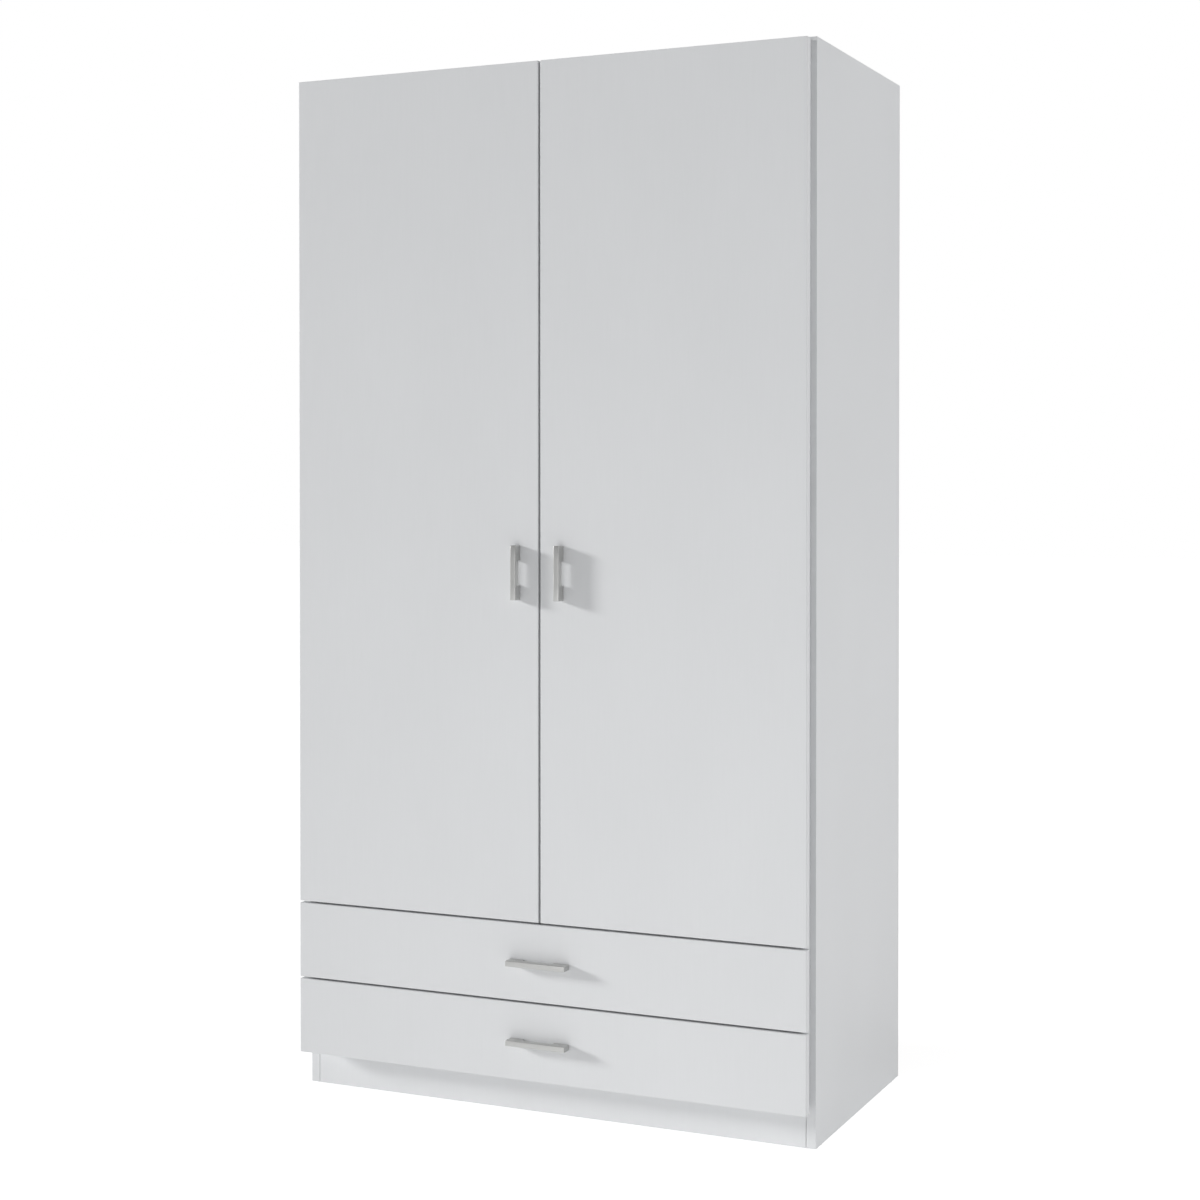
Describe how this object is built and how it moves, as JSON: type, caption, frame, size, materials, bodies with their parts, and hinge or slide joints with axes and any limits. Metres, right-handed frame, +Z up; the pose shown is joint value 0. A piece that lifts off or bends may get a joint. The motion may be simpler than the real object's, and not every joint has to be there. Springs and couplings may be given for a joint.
{
  "type": "wardrobe",
  "caption": "White free-standing wardrobe with doors over full-width drawers, bar handles, hanging rail, hat shelf and recessed plinth.",
  "frame": {"origin": "on the floor, at the centre of the overall width and depth", "axes": "+Z up, -Y towards the doors' side, X across the width"},
  "size_m": [1.06, 0.589, 2],
  "materials": {
    "white_front": "white melamine-faced chipboard, satin with a fine emboss",
    "white_board": "white melamine-faced chipboard, satin",
    "hardboard": "white lacquered hardboard",
    "beech": "turned beech, raw",
    "strip_plastic": "extruded white plastic, matt",
    "roller_plastic": "moulded white nylon",
    "glide_plastic": "moulded white plastic",
    "buffer_rubber": "soft clear-grey buffer",
    "handle_metal": "satin brushed",
    "chromed_rail": "bright chromed tube",
    "bracket_metal": "chromed die casting",
    "cam_zinc": "die-cast zinc alloy",
    "plated_steel": "nickel-plated steel",
    "runner_steel": "white powder-coated steel"
  },
  "bodies": {
    "carcass": {"back_joining_strip": "strip_plastic", "back_panel_left": "hardboard", "back_panel_right": "hardboard", "base_panel": "white_board", "cabinet_floor": "white_board", "cabinet_runners": "runner_steel", "cam_bolts": "plated_steel", "cam_discs": "cam_zinc", "door_buffers": "buffer_rubber", "floor_glides": "glide_plastic", "frame_dowels": "beech", "frame_stile_left": "white_board", "frame_stile_right": "white_board", "frame_top_rail": "white_board", "hanging_rail": "chromed_rail", "hat_shelf": "white_board", "hinge_arms": "plated_steel", "hinge_plate_screws": "plated_steel", "hinge_plates": "plated_steel", "plinth_front": "white_board", "rail_brackets": "bracket_metal", "rear_base_rail": "white_board", "shelf_pins": "plated_steel", "side_panel_left": "white_board", "side_panel_right": "white_board", "top_panel": "white_board", "wall_brackets": "plated_steel"},
    "left_door": {"door_left": "white_front", "left_door_handle": "handle_metal", "left_door_handle_screws": "plated_steel", "left_hinge_cup_screws": "plated_steel", "left_hinge_cups": "plated_steel", "left_hinge_pins": "plated_steel"},
    "right_door": {"door_right": "white_front", "right_door_handle": "handle_metal", "right_door_handle_screws": "plated_steel", "right_hinge_cup_screws": "plated_steel", "right_hinge_cups": "plated_steel", "right_hinge_pins": "plated_steel"},
    "upper_drawer": {"upper_drawer_back": "white_board", "upper_drawer_bottom": "hardboard", "upper_drawer_front": "white_front", "upper_drawer_handle": "handle_metal", "upper_drawer_handle_screws": "plated_steel", "upper_drawer_runners": "runner_steel", "upper_drawer_side_left": "white_board", "upper_drawer_side_right": "white_board"},
    "upper_front_rollers": {"upper_front_rollers": "roller_plastic"},
    "upper_rear_rollers": {"upper_rear_rollers": "roller_plastic"},
    "lower_drawer": {"lower_drawer_back": "white_board", "lower_drawer_bottom": "hardboard", "lower_drawer_front": "white_front", "lower_drawer_handle": "handle_metal", "lower_drawer_handle_screws": "plated_steel", "lower_drawer_runners": "runner_steel", "lower_drawer_side_left": "white_board", "lower_drawer_side_right": "white_board"},
    "lower_front_rollers": {"lower_front_rollers": "roller_plastic"},
    "lower_rear_rollers": {"lower_rear_rollers": "roller_plastic"}
  },
  "joints": [
    {"name": "left_door_swing", "type": "hinge", "parent": "carcass", "child": "left_door", "pos_m": [-0.5205, -0.2635, 1], "axis": [0, 0, -1], "range_deg": [0, 100]},
    {"name": "right_door_swing", "type": "hinge", "parent": "carcass", "child": "right_door", "pos_m": [0.5205, -0.2635, 1], "axis": [0, 0, 1], "range_deg": [0, 100]},
    {"name": "upper_drawer_slide", "type": "slide", "parent": "carcass", "child": "upper_drawer", "axis": [0, -1, 0], "range_m": [0, 0.34]},
    {"name": "upper_front_rollers_turn", "type": "hinge", "parent": "carcass", "child": "upper_front_rollers", "pos_m": [0, -0.2275, 0.2725], "axis": [1, 0, 0], "continuous": true},
    {"name": "upper_rear_rollers_turn", "type": "hinge", "parent": "upper_drawer", "child": "upper_rear_rollers", "pos_m": [0, 0.1815, 0.2725], "axis": [1, 0, 0], "continuous": true},
    {"name": "lower_drawer_slide", "type": "slide", "parent": "carcass", "child": "lower_drawer", "axis": [0, -1, 0], "range_m": [0, 0.34]},
    {"name": "lower_front_rollers_turn", "type": "hinge", "parent": "carcass", "child": "lower_front_rollers", "pos_m": [0, -0.2275, 0.1225], "axis": [1, 0, 0], "continuous": true},
    {"name": "lower_rear_rollers_turn", "type": "hinge", "parent": "lower_drawer", "child": "lower_rear_rollers", "pos_m": [0, 0.1815, 0.1225], "axis": [1, 0, 0], "continuous": true}
  ],
  "couplings": [
    {"joint": "upper_front_rollers_turn", "follows": "upper_drawer_slide", "rad_per_m": 100},
    {"joint": "upper_rear_rollers_turn", "follows": "upper_drawer_slide", "rad_per_m": 100},
    {"joint": "lower_front_rollers_turn", "follows": "lower_drawer_slide", "rad_per_m": 100},
    {"joint": "lower_rear_rollers_turn", "follows": "lower_drawer_slide", "rad_per_m": 100}
  ]
}
